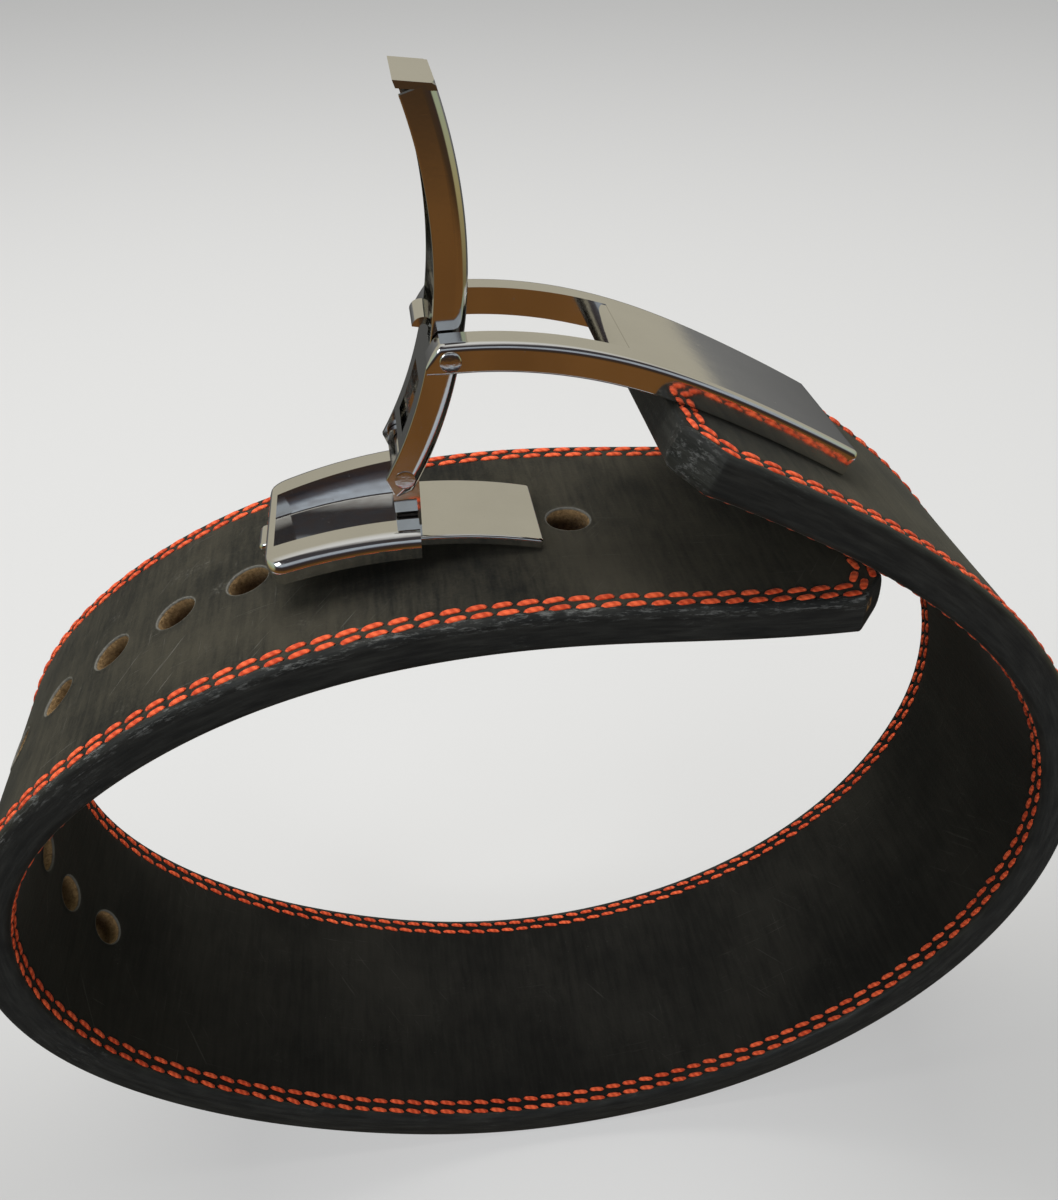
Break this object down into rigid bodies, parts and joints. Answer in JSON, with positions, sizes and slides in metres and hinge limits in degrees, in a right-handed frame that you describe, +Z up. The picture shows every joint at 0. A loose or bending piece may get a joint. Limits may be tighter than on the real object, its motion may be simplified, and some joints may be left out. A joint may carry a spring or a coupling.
{
  "type": "weightlifting belt",
  "caption": "Thick leather lifting belt bent into its loop, with stitched edges, a row of adjustment holes and an open chromed lever buckle hooked into a hole.",
  "frame": {"origin": "on the ground below the middle of the loop, at the middle of the belt's width", "axes": "+Z up, +Y along the belt's width, +X from the row of holes towards the buckled end's side"},
  "size_m": [0.3756, 0.1, 0.398],
  "materials": {
    "leather": "napped",
    "base_chrome": "polished",
    "lever_chrome": "polished",
    "hook_chrome": "polished",
    "pin_steel": "polished",
    "screw_steel": "satin"
  },
  "bodies": {
    "belt": {"strap": "leather", "buckle_base": "base_chrome", "base_screw_a": "screw_steel", "base_screw_b": "screw_steel", "lever_pin": "pin_steel"},
    "lever_arm": {"lever": "lever_chrome", "hook_pin": "pin_steel"},
    "hook": {"hook_plate": "hook_chrome"}
  },
  "joints": [
    {"name": "lever_hinge", "type": "hinge", "parent": "belt", "child": "lever_arm", "pos_m": [-0.02355, 0, 0.33238], "axis": [0, 1, 0], "range_deg": [0, 50]},
    {"name": "hook_hinge", "type": "hinge", "parent": "lever_arm", "child": "hook", "pos_m": [-0.03727, 0, 0.29352], "axis": [0, 1, 0], "range_deg": [-81, 0]}
  ],
  "couplings": [
    {"joint": "hook_hinge", "follows": "lever_hinge", "ratio": -1.62}
  ]
}
